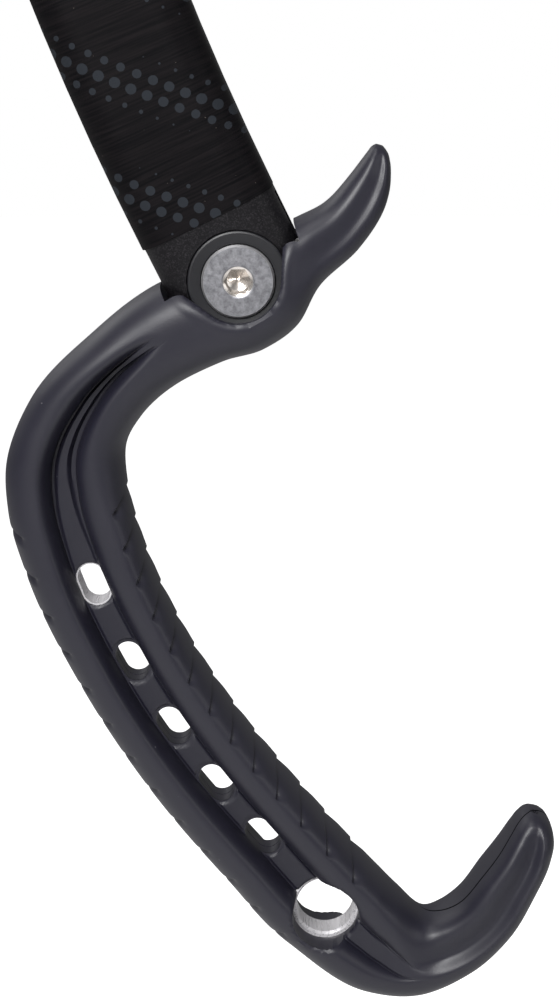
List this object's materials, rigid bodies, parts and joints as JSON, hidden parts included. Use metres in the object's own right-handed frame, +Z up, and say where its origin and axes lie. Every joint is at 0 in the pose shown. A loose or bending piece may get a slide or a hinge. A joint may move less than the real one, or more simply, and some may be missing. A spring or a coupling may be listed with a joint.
{
  "type": "ice climbing tool",
  "caption": "Ice climbing tool with a bowed shaft, a toothed pick and hammer, and an ergonomic hooked rubber handle that tilts on a clamp bolt.",
  "frame": {"origin": "centre of the clip hole at the foot of the handle, on the tool's middle plane", "axes": "+Z up along the tool towards the head, +X towards the pick's point, +Y across the tool along the clip hole, away from the front"},
  "size_m": [0.1951, 0.0248, 0.5013],
  "materials": {
    "shaft_black": "black anodised tube with fine cross brushing",
    "forged_grey": "speckled dark grey coat on a forging",
    "ring_black": "smooth satin black",
    "bolt_steel": "fine blasted steel with bright edges",
    "bush_bronze": "plain bearing bronze",
    "washer_nylon": "plain nylon",
    "core_alloy": "bare milled alloy",
    "grip_rubber": "satin moulded rubber",
    "head_black": "satin black coat on a forging",
    "pick_steel": "tempered steel with a ground edge"
  },
  "bodies": {
    "shaft": {"shaft_tube": "shaft_black", "pivot_fitting": "forged_grey", "ring_front": "ring_black", "ring_rear": "ring_black", "pivot_bolt": "bolt_steel", "pivot_nut": "bolt_steel", "thrust_washers": "washer_nylon", "head_block": "head_black", "head_pins": "bolt_steel", "pick": "pick_steel", "hammer": "pick_steel", "pick_bolts": "bolt_steel", "pick_nuts": "bolt_steel", "hammer_bolt": "bolt_steel", "hammer_nut": "bolt_steel", "bolt_washers": "bolt_steel"},
    "handle": {"handle_core": "core_alloy", "pivot_bush": "bush_bronze", "grip_half_front": "grip_rubber", "grip_half_rear": "grip_rubber"}
  },
  "joints": [
    {"name": "handle_tilt", "type": "hinge", "parent": "shaft", "child": "handle", "pos_m": [-0.0183, 0, 0.1385], "axis": [0, 1, 0], "range_deg": [-4, 4]}
  ]
}
